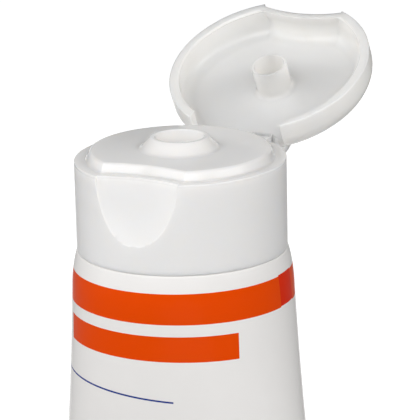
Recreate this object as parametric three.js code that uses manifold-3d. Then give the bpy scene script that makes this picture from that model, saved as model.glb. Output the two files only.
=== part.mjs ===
import * as THREE from "three";
import { mergeVertices } from "three/addons/utils/BufferGeometryUtils.js";
import Module from "manifold-3d";

// A soft squeeze tube with a press-fitted flip-top cap, shown with its lid open. Millimetres, +Z up.
// The origin is the middle of the tube's flat tail edge.
// The cap's thumb scoop faces -Y, the lid's hinge is on the +Y side, and the flat tail runs along X.

const wasm = await Module();
wasm.setup();

// Clearance between two pieces that touch each other in the real tube.
const FIT_GAP = 0.3;
// Extra room round a feature that only has to pass another one freely.
const FREE_GAP = 0.5;

// The sleeve: round at the shoulder, pressed flat and welded at the tail.
const TUBE_RADIUS = 20;
const TUBE_WALL = 0.5;
const SLEEVE_HEIGHT = 98;
const CRIMP_HEIGHT = 7;
const FLATTENING_POWER = 1.87;
const WIDENING_POWER = 1.8;
const SHOULDER_RISE = 3.2;
const SHOULDER_INSET = 1.25;
const SLEEVE_LIP_WIDTH = 1.75;

// The moulded shoulder inside the sleeve's top, with the neck the cap snaps onto.
const SHOULDER_WALL = 1.2;
const SHOULDER_SKIRT = 2.5;
const SHOULDER_CONE_RISE = 3;
const NECK_RADIUS = 8;
const NECK_BORE_RADIUS = 5.5;
const NECK_HEIGHT = 8;
const NECK_BEAD = 0.7;
const NECK_BEAD_HEIGHT = 1.4;
const NECK_TIP_HEIGHT = 0.9;

// The cap's round body, which stands a little proud of the sleeve's lip all round.
const CAP_OVERHANG = 0.15;
const CAP_HEIGHT = 16.3;
const CAP_WALL = 1.2;
const CAP_EDGE_ROUND = 1;
const CAP_FOOT_ROUND = 0.3;
const PLATEAU_HEIGHT = 1.75;
const PLATEAU_DRAFT = 0.6;
const PLATEAU_ROUND = 0.45;
const DECK_CROWN = 0.05;

// The nozzle in the middle of the cap, the plug under it and the socket round the neck.
const NOZZLE_FOOT_RADIUS = 7.15;
const NOZZLE_LIP_RADIUS = 5.2;
const NOZZLE_HEIGHT = 2.25;
const NOZZLE_FOOT_ROUND = 1.1;
const NOZZLE_LIP_ROUND = 0.35;
const MOUTH_FLARE = 0.7;
const MOUTH_FLARE_DEPTH = 1;
const PLUG_DEPTH = 2;
const PLUG_WALL = 1.2;
const SOCKET_WALL = 1.2;
const SOCKET_BEAD_HEIGHT = 0.8;
const SOCKET_BEAD_SLOPE = 0.6;

// The thumb scoop in the cap's front: half an oval, deepest at the ledge.
const SCOOP_HALF_WIDTH = 8.05;
const SCOOP_HEIGHT = 11.8;
const SCOOP_DEPTH = 3.7;
const SCOOP_BOW_RADIUS = 26.1;
// How deep the scoop's floor is at each height, both as shares of the whole.
const SCOOP_FLOOR_SHARES = [
  [0, 0],
  [0.085, 0.151],
  [0.169, 0.273],
  [0.314, 0.443],
  [0.483, 0.605],
  [0.695, 0.76],
  [1, 1],
];

// The lid, drawn closed and then swung open.
const LID_HEIGHT = 6.8;
const LID_EDGE_ROUND = 4.2;
const LID_WALL = 1.48;
const LID_TOP_WALL = 1.16;
const LID_FLOOR_ROUND = 2.8;
const LID_RIM_BEAD = 0.21;
const LID_RIM_BEAD_HEIGHT = 0.45;
const NOTCH_WALL = 1.3;
const NOTCH_LEAN_SHARE = 0.333;
const PIN_RADIUS = 3.3;
const PIN_HOLE_RADIUS = 2.65;
const PIN_LENGTH = 5.6;
const PIN_FOOT_ROUND = 0.6;
const PIN_ROOT = 0.4;
const PIN_TIP_ROUND = 0.2;
const LID_OPEN_DEG = 154.1;

// The straight hinge at the back: a block on the cap, a bar on the lid and a thin film between them.
const HINGE_HALF_WIDTH = 8.7;
const HINGE_SLOT = 0.6;
const HINGE_PROUD = 0.1;
const HINGE_BLOCK_HEIGHT = 3.6;
const HINGE_BAR_THICKNESS = 1.1;
const HINGE_BAR_BEVEL = 2;
const FILM_THICKNESS = 0.4;
const FILM_TAB = 2.9;

// The gel: it fills the tube from the shoulder down, and the flat tail below it is empty.
const GEL_GAP = 0.4;
const GEL_TAIL_THICKNESS = 21;

const ROUND_SIDES = 56;
const BOW_SIDES = 96;
const ARC_PARTS = 3;
const OVAL_PARTS = 24;
const LOFT_RINGS = 14;
const MERGE_TOLERANCE = 0.0001;
const FULL_TURN = 2 * Math.PI;

// Heights along the tube that several pieces share.
const LIP_TOP = SLEEVE_HEIGHT + SHOULDER_RISE;
const CAP_BOTTOM = LIP_TOP + FIT_GAP;
const NECK_BASE = LIP_TOP + SHOULDER_CONE_RISE;
const NECK_TOP = NECK_BASE + NECK_HEIGHT;
const LEDGE = CAP_BOTTOM + CAP_HEIGHT;
const DECK_EDGE = LEDGE + PLATEAU_HEIGHT;
const DECK_MIDDLE = DECK_EDGE + DECK_CROWN;
const MOUTH = DECK_EDGE + NOZZLE_HEIGHT;
const RIM = LEDGE + FIT_GAP;
const LID_TOP = RIM + LID_HEIGHT;
const LID_FLOOR = LID_TOP - LID_TOP_WALL;

// Radii and distances that several pieces share.
const CAP_RADIUS = TUBE_RADIUS - SHOULDER_INSET + CAP_OVERHANG;
const HINGE_FACE = CAP_RADIUS + HINGE_PROUD;
const SHOULDER_ARC = (SHOULDER_RISE ** 2 + SHOULDER_INSET ** 2) / (2 * SHOULDER_INSET);
const CAP_INNER = CAP_RADIUS - CAP_WALL;
const LID_INNER = CAP_RADIUS - LID_WALL;
const PLATEAU_FOOT = LID_INNER - LID_RIM_BEAD - FIT_GAP;
const PLATEAU_TOP = PLATEAU_FOOT - PLATEAU_DRAFT;
const BORE_RADIUS = PIN_RADIUS + FIT_GAP;
const PLUG_RADIUS = NECK_BORE_RADIUS - FIT_GAP;
const SOCKET_RADIUS = NECK_RADIUS + NECK_BEAD + FIT_GAP;
const BOW_AXIS_Y = SCOOP_DEPTH - CAP_RADIUS - SCOOP_BOW_RADIUS;
const HINGE_AXIS_Y = HINGE_FACE + FIT_GAP + FILM_THICKNESS / 2;
const HINGE_AXIS_Z = (LEDGE + RIM) / 2;

// Turns a list of [x, y, radius] corners into outline points, with an arc at each corner that has a radius.
function rounded(corners) {
  const count = corners.length;
  const points = [];
  corners.forEach(([x, y, radius = 0], index) => {
    const here = new THREE.Vector2(x, y);
    if (radius === 0) {
      points.push(here);
      return;
    }
    const before = corners[(index + count - 1) % count];
    const after = corners[(index + 1) % count];
    const back = new THREE.Vector2(before[0], before[1]).sub(here).normalize();
    const ahead = new THREE.Vector2(after[0], after[1]).sub(here).normalize();
    const half = Math.acos(back.dot(ahead)) / 2;
    const middle = back.clone().add(ahead).normalize();
    const centre = here.clone().addScaledVector(middle, radius / Math.sin(half));
    const first = here.clone().addScaledVector(back, radius / Math.tan(half)).sub(centre);
    const last = here.clone().addScaledVector(ahead, radius / Math.tan(half)).sub(centre);
    const sweep = Math.atan2(first.cross(last), first.dot(last));
    for (let part = 0; part <= ARC_PARTS; part += 1) {
      const turn = (sweep * part) / ARC_PARTS;
      points.push(first.clone().rotateAround(new THREE.Vector2(), turn).add(centre));
    }
  });
  return points;
}

// Makes a closed triangle mesh into a solid, whichever way its faces were wound.
function solid(geometry) {
  const bare = new THREE.BufferGeometry();
  bare.setAttribute("position", geometry.getAttribute("position"));
  bare.setIndex(geometry.getIndex());
  const merged = mergeVertices(bare, MERGE_TOLERANCE);
  const corners = merged.getIndex().array;
  const kept = [];
  for (let i = 0; i < corners.length; i += 3) {
    const [a, b, c] = [corners[i], corners[i + 1], corners[i + 2]];
    if (a !== b && b !== c && c !== a) kept.push(a, b, c);
  }
  const build = (triVerts) => {
    const vertProperties = merged.getAttribute("position").array;
    return new wasm.Manifold(new wasm.Mesh({ numProp: 3, vertProperties, triVerts }));
  };
  const made = build(new Uint32Array(kept));
  return made.volume() < 0 ? build(new Uint32Array(kept.reverse())) : made;
}

// A solid turned about the vertical line through (0, y), from a profile of [radius, height] corners.
function turned(corners, { y = 0, sides = ROUND_SIDES } = {}) {
  const points = rounded(corners);
  const last = corners[corners.length - 1];
  const onAxis = corners[0][0] === 0 && last[0] === 0;
  if (!onAxis) points.push(points[0].clone());
  const geometry = new THREE.LatheGeometry(points, sides);
  geometry.rotateX(Math.PI / 2);
  geometry.translate(0, y, 0);
  return solid(geometry);
}

// A bar along X with the outline [y, z], from x = -half to x = half.
function barAlongX(corners, half) {
  const geometry = new THREE.ExtrudeGeometry(new THREE.Shape(rounded(corners)), {
    depth: 2 * half,
    bevelEnabled: false,
  });
  const lengthways = new THREE.Vector3(1, 0, 0);
  const across = new THREE.Vector3(0, 1, 0);
  const up = new THREE.Vector3(0, 0, 1);
  geometry.applyMatrix4(new THREE.Matrix4().makeBasis(across, up, lengthways));
  geometry.translate(-half, 0, 0);
  return solid(geometry);
}

// A bar along Y with the outline [x, z], between two values of y.
function barAlongY(points, low, high) {
  const geometry = new THREE.ExtrudeGeometry(new THREE.Shape(points), {
    depth: high - low,
    bevelEnabled: false,
  });
  const sideways = new THREE.Vector3(1, 0, 0);
  const up = new THREE.Vector3(0, 0, 1);
  const towardFront = new THREE.Vector3(0, -1, 0);
  geometry.applyMatrix4(new THREE.Matrix4().makeBasis(sideways, up, towardFront));
  geometry.translate(0, high, 0);
  return solid(geometry);
}

// A solid through a stack of ellipses [height, half width, half depth], with flat ends.
function lofted(rings) {
  const positions = [];
  const faces = [];
  rings.forEach(([z, halfWidth, halfDepth]) => {
    for (let side = 0; side < ROUND_SIDES; side += 1) {
      const angle = (FULL_TURN * side) / ROUND_SIDES;
      positions.push(halfWidth * Math.cos(angle), halfDepth * Math.sin(angle), z);
    }
  });
  const at = (ring, side) => ring * ROUND_SIDES + (side % ROUND_SIDES);
  for (let ring = 0; ring + 1 < rings.length; ring += 1) {
    for (let side = 0; side < ROUND_SIDES; side += 1) {
      faces.push(at(ring, side), at(ring, side + 1), at(ring + 1, side + 1));
      faces.push(at(ring, side), at(ring + 1, side + 1), at(ring + 1, side));
    }
  }
  const topRing = rings.length - 1;
  const lowMiddle = positions.length / 3;
  positions.push(0, 0, rings[0][0]);
  positions.push(0, 0, rings[topRing][0]);
  for (let side = 0; side < ROUND_SIDES; side += 1) {
    faces.push(lowMiddle, at(0, side + 1), at(0, side));
    faces.push(lowMiddle + 1, at(topRing, side), at(topRing, side + 1));
  }
  const geometry = new THREE.BufferGeometry();
  geometry.setAttribute("position", new THREE.Float32BufferAttribute(positions, 3));
  geometry.setIndex(faces);
  return solid(geometry);
}

// The sleeve's half width and half depth at a height: its girth stays the same as it flattens.
function sleeveHalves(z, inset) {
  const share = Math.max(0, (SLEEVE_HEIGHT - z) / (SLEEVE_HEIGHT - CRIMP_HEIGHT));
  const depth = TUBE_RADIUS - (TUBE_RADIUS - TUBE_WALL) * share ** FLATTENING_POWER;
  const roundness = (depth / TUBE_RADIUS) ** WIDENING_POWER;
  const width = (Math.PI / 2) * TUBE_RADIUS * (1 - (1 - 2 / Math.PI) * roundness);
  return [width - inset, depth - inset];
}

// The height at which the sleeve, taken in by the inset, is still as thick as asked.
function heightOfThickness(thickness, inset) {
  const share = (TUBE_RADIUS - inset - thickness / 2) / (TUBE_RADIUS - TUBE_WALL);
  const fallen = share ** (1 / FLATTENING_POWER);
  return SLEEVE_HEIGHT - (SLEEVE_HEIGHT - CRIMP_HEIGHT) * fallen;
}

// Ellipses of the sleeve between two heights, taken in by the inset.
function sleeveRings(low, high, inset) {
  const rings = [];
  for (let step = 0; step <= LOFT_RINGS; step += 1) {
    const z = low + ((high - low) * step) / LOFT_RINGS;
    rings.push([z, ...sleeveHalves(z, inset)]);
  }
  return rings;
}

// Circles of the rounded shoulder above the sleeve's straight part, up to the height given.
function shoulderRings(inset, top) {
  const centre = TUBE_RADIUS - SHOULDER_ARC;
  const radius = SHOULDER_ARC - inset;
  const reach = Math.asin((top - SLEEVE_HEIGHT) / radius);
  const rings = [];
  for (let part = 1; part <= ARC_PARTS; part += 1) {
    const angle = (reach * part) / ARC_PARTS;
    const size = centre + radius * Math.cos(angle);
    rings.push([SLEEVE_HEIGHT + radius * Math.sin(angle), size, size]);
  }
  return rings;
}

function shoulderOpening() {
  return TUBE_RADIUS - SHOULDER_INSET - SLEEVE_LIP_WIDTH;
}

function makeTubeSleeve() {
  const outer = lofted([
    ...sleeveRings(CRIMP_HEIGHT, SLEEVE_HEIGHT, 0),
    ...shoulderRings(0, LIP_TOP),
  ]);
  const hollowBottom = heightOfThickness(TUBE_WALL, TUBE_WALL);
  const hollow = lofted([
    ...sleeveRings(hollowBottom, SLEEVE_HEIGHT, TUBE_WALL),
    ...shoulderRings(TUBE_WALL, LIP_TOP - TUBE_WALL),
  ]);
  const opening = turned([
    [0, SLEEVE_HEIGHT],
    [shoulderOpening(), SLEEVE_HEIGHT],
    [shoulderOpening(), LIP_TOP + FREE_GAP],
    [0, LIP_TOP + FREE_GAP],
  ]);
  const flatHalf = (Math.PI / 2) * TUBE_RADIUS;
  const crimpTop = CRIMP_HEIGHT + TUBE_WALL;
  const crimp = barAlongX(
    [
      [-TUBE_WALL, 0],
      [TUBE_WALL, 0],
      [TUBE_WALL, crimpTop],
      [-TUBE_WALL, crimpTop],
    ],
    flatHalf,
  );
  return outer.add(crimp).subtract(hollow).subtract(opening);
}

function makeTubeShoulder() {
  const inset = TUBE_WALL + FIT_GAP;
  const skirtRadius = TUBE_RADIUS - inset;
  const seat = LIP_TOP - inset;
  const arcRadius = SHOULDER_ARC - inset;
  const reach = Math.asin((seat - SLEEVE_HEIGHT) / arcRadius);
  const arc = [];
  for (let part = 0; part <= ARC_PARTS; part += 1) {
    const angle = (reach * part) / ARC_PARTS;
    const size = TUBE_RADIUS - SHOULDER_ARC + arcRadius * Math.cos(angle);
    arc.push([size, SLEEVE_HEIGHT + arcRadius * Math.sin(angle)]);
  }
  const step = shoulderOpening() - FIT_GAP;
  const beadMiddle = NECK_TOP - NECK_TIP_HEIGHT - NECK_BEAD_HEIGHT / 2;
  return turned([
    [skirtRadius, SLEEVE_HEIGHT - SHOULDER_SKIRT],
    ...arc,
    [step, seat],
    [step, LIP_TOP],
    [NECK_RADIUS, NECK_BASE],
    [NECK_RADIUS, beadMiddle - NECK_BEAD_HEIGHT / 2],
    [NECK_RADIUS + NECK_BEAD, beadMiddle],
    [NECK_RADIUS + NECK_BEAD, beadMiddle + NECK_BEAD_HEIGHT / 4],
    [NECK_RADIUS - FIT_GAP, NECK_TOP],
    [NECK_BORE_RADIUS + FIT_GAP, NECK_TOP],
    [NECK_BORE_RADIUS, NECK_TOP - FIT_GAP],
    [NECK_BORE_RADIUS, NECK_BASE - SHOULDER_WALL],
    [step - SHOULDER_WALL, LIP_TOP - 2 * SHOULDER_WALL],
    [skirtRadius - SHOULDER_WALL, SLEEVE_HEIGHT],
    [skirtRadius - SHOULDER_WALL, SLEEVE_HEIGHT - SHOULDER_SKIRT],
  ]);
}

// Everything in front of the bowed scoop surface, moved back by the offset given.
function scoopCutter(offset) {
  const bottom = LEDGE - SCOOP_HEIGHT;
  const floor = SCOOP_FLOOR_SHARES.map(([heightShare, depthShare]) => [
    SCOOP_BOW_RADIUS - SCOOP_DEPTH * (1 - depthShare) + offset,
    bottom + SCOOP_HEIGHT * heightShare,
  ]);
  const bow = turned(
    [
      [0, bottom - offset],
      [floor[0][0], bottom - offset],
      ...floor,
      [SCOOP_BOW_RADIUS + offset, LEDGE + FREE_GAP],
      [0, LEDGE + FREE_GAP],
    ],
    { y: BOW_AXIS_Y, sides: BOW_SIDES },
  );
  const halfWidth = SCOOP_HALF_WIDTH + offset;
  const height = SCOOP_HEIGHT + offset;
  const outline = [];
  for (let part = 0; part <= OVAL_PARTS; part += 1) {
    const angle = (Math.PI * part) / OVAL_PARTS;
    const x = -halfWidth * Math.cos(angle);
    outline.push(new THREE.Vector2(x, LEDGE - height * Math.sin(angle)));
  }
  outline.push(new THREE.Vector2(halfWidth, LEDGE + PLATEAU_HEIGHT));
  outline.push(new THREE.Vector2(-halfWidth, LEDGE + PLATEAU_HEIGHT));
  return bow.intersect(barAlongY(outline, -2 * CAP_RADIUS, 0));
}

// Everything in front of the lid's notch wall, which leans out by a share of its height.
function notchCutter(offset) {
  const bottom = RIM - FREE_GAP;
  const top = LID_TOP + FREE_GAP;
  const bow = turned(
    [
      [0, bottom],
      [SCOOP_BOW_RADIUS + offset + NOTCH_LEAN_SHARE * FREE_GAP, bottom],
      [SCOOP_BOW_RADIUS + offset - NOTCH_LEAN_SHARE * (top - RIM), top],
      [0, top],
    ],
    { y: BOW_AXIS_Y, sides: BOW_SIDES },
  );
  const halfWidth = SCOOP_HALF_WIDTH + offset;
  const outline = [
    new THREE.Vector2(-halfWidth, bottom),
    new THREE.Vector2(halfWidth, bottom),
    new THREE.Vector2(halfWidth, top),
    new THREE.Vector2(-halfWidth, top),
  ];
  return bow.intersect(barAlongY(outline, -2 * CAP_RADIUS, 0));
}

// Everything in front of the plateau, so that the lid's notch wall comes down in front of it.
function plateauCutter(offset, bottom) {
  const foot = SCOOP_BOW_RADIUS + NOTCH_WALL + FREE_GAP + offset;
  const top = DECK_MIDDLE + FREE_GAP;
  return turned(
    [
      [0, bottom],
      [foot, bottom],
      [foot + (PLATEAU_DRAFT * (top - LEDGE)) / PLATEAU_HEIGHT, top],
      [0, top],
    ],
    { y: BOW_AXIS_Y, sides: BOW_SIDES },
  );
}

// The room inside the cap, with every wall left standing round the scoop and the plateau.
function capHollow() {
  const underLedge = LEDGE - CAP_WALL;
  const underDeck = DECK_EDGE - CAP_WALL;
  return turned([
    [0, CAP_BOTTOM - FREE_GAP],
    [CAP_INNER, CAP_BOTTOM - FREE_GAP],
    [CAP_INNER, underLedge, CAP_FOOT_ROUND],
    [PLATEAU_TOP - CAP_WALL, underLedge],
    [PLATEAU_TOP - CAP_WALL - PLATEAU_DRAFT, underDeck],
    [0, underDeck],
  ])
    .subtract(scoopCutter(CAP_WALL))
    .subtract(plateauCutter(CAP_WALL, underLedge));
}

function hingeBlock() {
  const top = LEDGE;
  const bottom = LEDGE - HINGE_BLOCK_HEIGHT;
  const run = HINGE_FACE - CAP_INNER;
  const inside = CAP_INNER - 2 * CAP_WALL;
  return barAlongX(
    [
      [inside, top],
      [inside, bottom - run],
      [CAP_INNER, bottom - run],
      [HINGE_FACE, bottom],
      [HINGE_FACE, top],
    ],
    HINGE_HALF_WIDTH,
  );
}

// The nozzle above the deck and the plug and socket below it, as one ring-shaped solid.
function nozzleAndSocket() {
  const underDeck = DECK_EDGE - CAP_WALL;
  const inDeck = DECK_EDGE - CAP_WALL / 2;
  const plugBottom = NECK_TOP - PLUG_DEPTH;
  const plugInner = PLUG_RADIUS - PLUG_WALL;
  const nozzle = turned([
    [BORE_RADIUS, underDeck - CAP_WALL],
    [BORE_RADIUS, MOUTH - MOUTH_FLARE_DEPTH],
    [BORE_RADIUS + MOUTH_FLARE, MOUTH],
    [NOZZLE_LIP_RADIUS, MOUTH, NOZZLE_LIP_ROUND],
    [NOZZLE_FOOT_RADIUS, DECK_MIDDLE, NOZZLE_FOOT_ROUND],
    [NOZZLE_FOOT_RADIUS + NOZZLE_FOOT_ROUND, DECK_MIDDLE],
    [NOZZLE_FOOT_RADIUS + NOZZLE_FOOT_ROUND, inDeck],
    [PLUG_RADIUS, inDeck],
    [PLUG_RADIUS, plugBottom + FREE_GAP],
    [PLUG_RADIUS - FIT_GAP, plugBottom],
    [plugInner, plugBottom],
    [plugInner, underDeck - CAP_WALL - FREE_GAP],
  ]);
  const beadMiddle = NECK_TOP - NECK_TIP_HEIGHT - NECK_BEAD_HEIGHT / 2;
  const beadTop = beadMiddle - NECK_BEAD_HEIGHT / 2 - FIT_GAP;
  const beadRadius = NECK_RADIUS + FIT_GAP;
  const socketBottom = NECK_BASE + FREE_GAP;
  const socket = turned([
    [SOCKET_RADIUS, inDeck],
    [SOCKET_RADIUS, beadTop + SOCKET_BEAD_SLOPE],
    [beadRadius, beadTop],
    [beadRadius, beadTop - SOCKET_BEAD_HEIGHT],
    [SOCKET_RADIUS, beadTop - SOCKET_BEAD_HEIGHT - SOCKET_BEAD_SLOPE],
    [SOCKET_RADIUS, socketBottom],
    [SOCKET_RADIUS + SOCKET_WALL, socketBottom],
    [SOCKET_RADIUS + SOCKET_WALL, inDeck],
  ]);
  return nozzle.add(socket);
}

function makeCapBase() {
  const body = turned([
    [0, CAP_BOTTOM],
    [CAP_RADIUS, CAP_BOTTOM, CAP_FOOT_ROUND],
    [CAP_RADIUS, LEDGE, CAP_EDGE_ROUND],
    [PLATEAU_FOOT, LEDGE],
    [PLATEAU_TOP, DECK_EDGE, PLATEAU_ROUND],
    [NOZZLE_FOOT_RADIUS, DECK_MIDDLE],
    [0, DECK_MIDDLE],
  ])
    .subtract(scoopCutter(0))
    .subtract(plateauCutter(0, LEDGE));
  const bore = turned([
    [0, CAP_BOTTOM],
    [PLUG_RADIUS - PLUG_WALL / 2, CAP_BOTTOM],
    [PLUG_RADIUS - PLUG_WALL / 2, MOUTH],
    [0, MOUTH],
  ]);
  return body.add(hingeBlock()).subtract(capHollow()).subtract(bore).add(nozzleAndSocket());
}

// The straight back of the lid over the hinge: the same rounded edge, run along X.
function lidBack(inset, bottom, half) {
  const back = HINGE_FACE - inset;
  const top = LID_TOP - (inset === 0 ? 0 : LID_TOP_WALL);
  const edge = inset === 0 ? LID_EDGE_ROUND : LID_FLOOR_ROUND;
  const front = LID_INNER - LID_EDGE_ROUND - LID_FLOOR_ROUND;
  return barAlongX(
    [
      [front, bottom],
      [back, bottom],
      [back, top, edge],
      [front, top],
    ],
    half,
  );
}

function makeClosedLid() {
  const outside = turned([
    [0, RIM],
    [CAP_RADIUS, RIM],
    [CAP_RADIUS, LID_TOP, LID_EDGE_ROUND],
    [0, LID_TOP],
  ])
    .add(lidBack(0, RIM, HINGE_HALF_WIDTH))
    .subtract(notchCutter(0));
  const room = turned([
    [0, RIM - FREE_GAP],
    [LID_INNER - LID_RIM_BEAD, RIM - FREE_GAP],
    [LID_INNER - LID_RIM_BEAD, RIM + LID_RIM_BEAD_HEIGHT],
    [LID_INNER, RIM + LID_RIM_BEAD_HEIGHT + LID_RIM_BEAD],
    [LID_INNER, LID_FLOOR, LID_FLOOR_ROUND],
    [0, LID_FLOOR],
  ]).subtract(notchCutter(NOTCH_WALL));
  const slotHalf = HINGE_HALF_WIDTH + HINGE_SLOT;
  const backRoom = lidBack(HINGE_BAR_THICKNESS, RIM - FREE_GAP, slotHalf);
  const barInner = HINGE_FACE - HINGE_BAR_THICKNESS;
  const bevel = barAlongX(
    [
      [HINGE_FACE + FREE_GAP, RIM - FREE_GAP],
      [HINGE_FACE, RIM],
      [barInner, RIM + HINGE_BAR_BEVEL],
      [barInner - FREE_GAP, RIM + HINGE_BAR_BEVEL],
      [barInner - FREE_GAP, RIM - FREE_GAP],
    ],
    slotHalf,
  );
  const pin = turned([
    [PIN_HOLE_RADIUS, LID_FLOOR + PIN_ROOT],
    [PIN_HOLE_RADIUS, LID_FLOOR - PIN_LENGTH],
    [PIN_RADIUS, LID_FLOOR - PIN_LENGTH, PIN_TIP_ROUND],
    [PIN_RADIUS, LID_FLOOR, PIN_FOOT_ROUND],
    [PIN_RADIUS + PIN_FOOT_ROUND, LID_FLOOR],
    [PIN_RADIUS + PIN_FOOT_ROUND, LID_FLOOR + PIN_ROOT],
  ]);
  return outside.subtract(room).subtract(backRoom).subtract(bevel).add(pin);
}

// Swings a solid about the hinge line, from the closed place to the open one.
function swungOpen(shape) {
  return shape
    .translate([0, -HINGE_AXIS_Y, -HINGE_AXIS_Z])
    .rotate([-LID_OPEN_DEG, 0, 0])
    .translate([0, HINGE_AXIS_Y, HINGE_AXIS_Z]);
}

// One bent strip: a tab behind the cap's block, a round fold on the hinge line, a tab behind the lid's bar.
function makeHingeFilm() {
  const half = FILM_THICKNESS / 2;
  const open = THREE.MathUtils.degToRad(LID_OPEN_DEG);
  const onLid = (across, up) => [
    across * Math.cos(open) + up * Math.sin(open),
    up * Math.cos(open) - across * Math.sin(open),
  ];
  const crease = half / Math.tan((Math.PI - open) / 2);
  const outline = [[-half, -FILM_TAB]];
  for (let part = 0; part <= 2 * ARC_PARTS; part += 1) {
    const angle = (open * part) / (2 * ARC_PARTS);
    outline.push([-half * Math.cos(angle), half * Math.sin(angle)]);
  }
  outline.push(onLid(-half, FILM_TAB), onLid(half, FILM_TAB));
  outline.push([half, -crease], [half, -FILM_TAB]);
  const placed = outline.map(([y, z]) => [HINGE_AXIS_Y + y, HINGE_AXIS_Z + z]);
  return barAlongX(placed, HINGE_HALF_WIDTH);
}

function makeGelFill() {
  const inset = TUBE_WALL + GEL_GAP;
  const bottom = heightOfThickness(GEL_TAIL_THICKNESS, inset);
  const top = SLEEVE_HEIGHT - SHOULDER_SKIRT - GEL_GAP;
  return lofted(sleeveRings(bottom, top, inset));
}

function plainMaterial(colour, roughness) {
  return new THREE.MeshStandardMaterial({ color: colour, roughness, metalness: 0 });
}

const sleeveMaterial = plainMaterial("#e9e7e3", 0.42);
const shoulderMaterial = plainMaterial("#ebe9e4", 0.5);
const capMaterial = plainMaterial("#efedea", 0.28);
const lidMaterial = plainMaterial("#efedeb", 0.28);
const filmMaterial = plainMaterial("#e6e4e1", 0.3);
const gelMaterial = plainMaterial("#f4f1e4", 0.2);

// Wraps a finished solid as a named mesh.
function named(name, shape, material) {
  const mesh = shape.getMesh();
  const stride = mesh.numProp;
  const positions = new Float32Array((mesh.vertProperties.length / stride) * 3);
  for (let i = 0; i < positions.length / 3; i += 1) {
    positions[3 * i] = mesh.vertProperties[stride * i];
    positions[3 * i + 1] = mesh.vertProperties[stride * i + 1];
    positions[3 * i + 2] = mesh.vertProperties[stride * i + 2];
  }
  const geometry = new THREE.BufferGeometry();
  geometry.setAttribute("position", new THREE.BufferAttribute(positions, 3));
  geometry.setIndex(Array.from(mesh.triVerts));
  geometry.computeVertexNormals();
  const result = new THREE.Mesh(geometry, material);
  result.name = name;
  return result;
}

const tube = new THREE.Group();
tube.name = "flip_top_squeeze_tube";
tube.add(named("tube_sleeve", makeTubeSleeve(), sleeveMaterial));
tube.add(named("tube_shoulder", makeTubeShoulder(), shoulderMaterial));
tube.add(named("gel_fill", makeGelFill(), gelMaterial));
tube.add(named("cap_base", makeCapBase(), capMaterial));
tube.add(named("hinge_film", makeHingeFilm(), filmMaterial));
tube.add(named("cap_lid", swungOpen(makeClosedLid()), lidMaterial));

export default tube;
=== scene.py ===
# %% [markdown]
# # A flip-top squeeze tube
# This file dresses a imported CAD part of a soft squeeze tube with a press-fitted flip-top cap.
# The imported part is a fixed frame: it says where each piece is and how the lid swings.
# Every visible piece is modelled again here, finer than the CAD solid it stands for,
# and gets its real finish.

# %% Load the fixed frame
import math

import bpy
from mathutils import Matrix, Vector


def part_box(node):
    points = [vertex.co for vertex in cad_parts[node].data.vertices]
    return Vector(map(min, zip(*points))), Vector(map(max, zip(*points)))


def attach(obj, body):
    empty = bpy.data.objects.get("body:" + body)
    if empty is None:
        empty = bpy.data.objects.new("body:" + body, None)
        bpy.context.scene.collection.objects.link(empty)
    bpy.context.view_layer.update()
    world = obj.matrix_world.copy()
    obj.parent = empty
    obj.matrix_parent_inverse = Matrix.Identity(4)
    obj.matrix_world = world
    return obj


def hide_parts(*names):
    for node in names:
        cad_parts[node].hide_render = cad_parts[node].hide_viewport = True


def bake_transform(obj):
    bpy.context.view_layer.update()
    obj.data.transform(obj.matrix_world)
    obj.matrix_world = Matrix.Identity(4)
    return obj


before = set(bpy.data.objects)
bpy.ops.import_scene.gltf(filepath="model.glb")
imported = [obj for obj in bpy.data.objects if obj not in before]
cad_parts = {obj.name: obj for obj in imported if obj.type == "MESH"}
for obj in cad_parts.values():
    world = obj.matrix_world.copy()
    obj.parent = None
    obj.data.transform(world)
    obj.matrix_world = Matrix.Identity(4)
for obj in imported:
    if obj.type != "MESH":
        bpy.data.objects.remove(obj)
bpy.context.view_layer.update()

for node_name in sorted(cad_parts):
    low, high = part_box(node_name)
    print(node_name, [round(1000 * (b - a), 1) for a, b in zip(low, high)], "mm")

# %% [markdown]
# ## How a moulder's drawing becomes a mesh
# Most of this object is round, so most of it starts as a profile, the way a mould maker draws it.
# A vertex is pulled along the profile, corner by corner, and the chain of edges is spun about the axis.
# Real mouldings have no dead sharp corners, so a drawn corner can carry a radius in millimetres.

# %% Drawing helpers
MM = 0.001
# Points closer than this are one point: in a fresh outline, and along a cut.
DOUBLES = 0.002 * MM
CUT_DOUBLES = 0.01 * MM


def arc_corners(corners, parts=6):
    """Swaps each [x, y, radius] corner of a closed outline for an arc of plain points."""
    points = []
    for index, corner in enumerate(corners):
        here = Vector(corner[:2])
        if len(corner) == 2:
            points.append(here)
            continue
        back = (Vector(corners[index - 1][:2]) - here).normalized()
        ahead = (Vector(corners[(index + 1) % len(corners)][:2]) - here).normalized()
        half = back.angle(ahead) / 2
        centre = here + (back + ahead).normalized() * corner[2] / math.sin(half)
        first = here + back * corner[2] / math.tan(half) - centre
        last = here + ahead * corner[2] / math.tan(half) - centre
        sweep = first.angle_signed(last)
        for part in range(parts + 1):
            turn = Matrix.Rotation(-sweep * part / parts, 2)
            points.append(centre + turn @ first)
    return points


def clean_slate():
    """Leaves nothing selected and no piece open for editing."""
    if bpy.context.mode != "OBJECT":
        bpy.ops.object.mode_set(mode="OBJECT")
    bpy.ops.object.select_all(action="DESELECT")


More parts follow.
